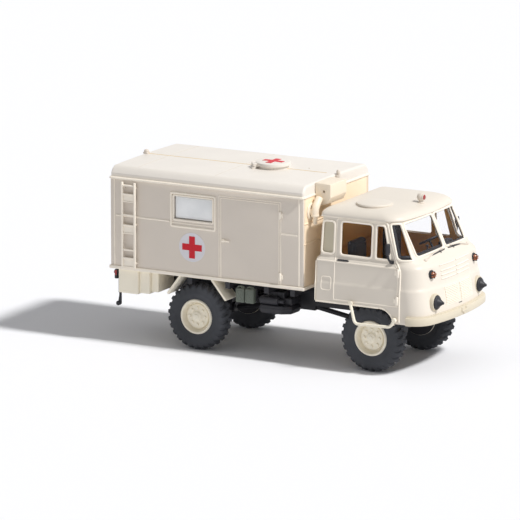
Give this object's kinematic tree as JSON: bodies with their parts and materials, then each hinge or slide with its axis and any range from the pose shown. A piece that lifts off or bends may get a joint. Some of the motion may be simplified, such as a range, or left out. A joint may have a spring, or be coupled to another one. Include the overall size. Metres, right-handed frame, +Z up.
{
  "type": "scale-model ambulance truck",
  "caption": "Small moulded model of a forward-control army ambulance lorry with a box shelter; it rolls on two axles.",
  "frame": {"origin": "on the ground, midway along the length and on the centre line", "axes": "+X forward, +Y to the vehicle's left, +Z up"},
  "size_m": [0.0659, 0.0274, 0.0333],
  "materials": {
    "ivory_plastic": "satin",
    "bone_plastic": "satin",
    "black_plastic": "satin",
    "black_tyre": "matt",
    "green_plastic": "matt",
    "clear_plastic": "gloss",
    "frosted_plastic": "satin",
    "steel_shaft": "satin",
    "red_lens": "gloss",
    "amber_lens": "gloss",
    "brown_interior": "matt"
  },
  "bodies": {
    "truck": {"frame_rails": "black_plastic", "frame_crossmembers": "black_plastic", "long_bearers": "black_plastic", "cross_bearers": "black_plastic", "cab_mounts": "black_plastic", "front_axle_housing": "black_plastic", "rear_axle_housing": "black_plastic", "leaf_springs": "black_plastic", "engine_gearbox": "black_plastic", "transfer_case": "black_plastic", "fuel_tank": "black_plastic", "exhaust_silencer": "black_plastic", "jerry_cans": "green_plastic", "tow_coupling": "black_plastic", "support_legs": "black_plastic", "tail_lamps": "red_lens", "wheel_arch_liners": "black_plastic", "shelter_floor": "ivory_plastic", "shelter_right_wall": "ivory_plastic", "shelter_left_wall": "ivory_plastic", "shelter_front_wall": "ivory_plastic", "shelter_rear_wall": "ivory_plastic", "shelter_roof": "ivory_plastic", "shelter_windows": "frosted_plastic", "side_ladder": "ivory_plastic", "heater_hood": "ivory_plastic", "vent_elbow": "ivory_plastic", "shelter_hatch": "ivory_plastic", "marker_lamps": "ivory_plastic", "rear_lockers": "bone_plastic", "rear_mudguards": "bone_plastic", "cab_shell": "ivory_plastic", "cab_glazing": "clear_plastic", "cab_floor": "brown_interior", "cab_seats": "brown_interior", "dashboard": "brown_interior", "steering_wheel": "brown_interior", "cab_hatch": "ivory_plastic", "roof_beacon": "ivory_plastic", "front_bumper": "bone_plastic", "headlamps": "ivory_plastic", "blackout_covers": "black_plastic", "turn_signals": "amber_lens", "door_mirrors": "black_plastic", "cab_steps": "bone_plastic"},
    "front_wheelset": {"front_axle_shaft": "steel_shaft", "front_tyres": "black_tyre", "front_rims": "bone_plastic"},
    "rear_wheelset": {"rear_axle_shaft": "steel_shaft", "rear_tyres": "black_tyre", "rear_rims": "bone_plastic"}
  },
  "joints": [
    {"name": "front_wheels_roll", "type": "hinge", "parent": "truck", "child": "front_wheelset", "pos_m": [0.0198, 0, 0.006], "axis": [0, 1, 0], "continuous": true},
    {"name": "rear_wheels_roll", "type": "hinge", "parent": "truck", "child": "rear_wheelset", "pos_m": [-0.015, 0, 0.006], "axis": [0, 1, 0], "continuous": true}
  ]
}
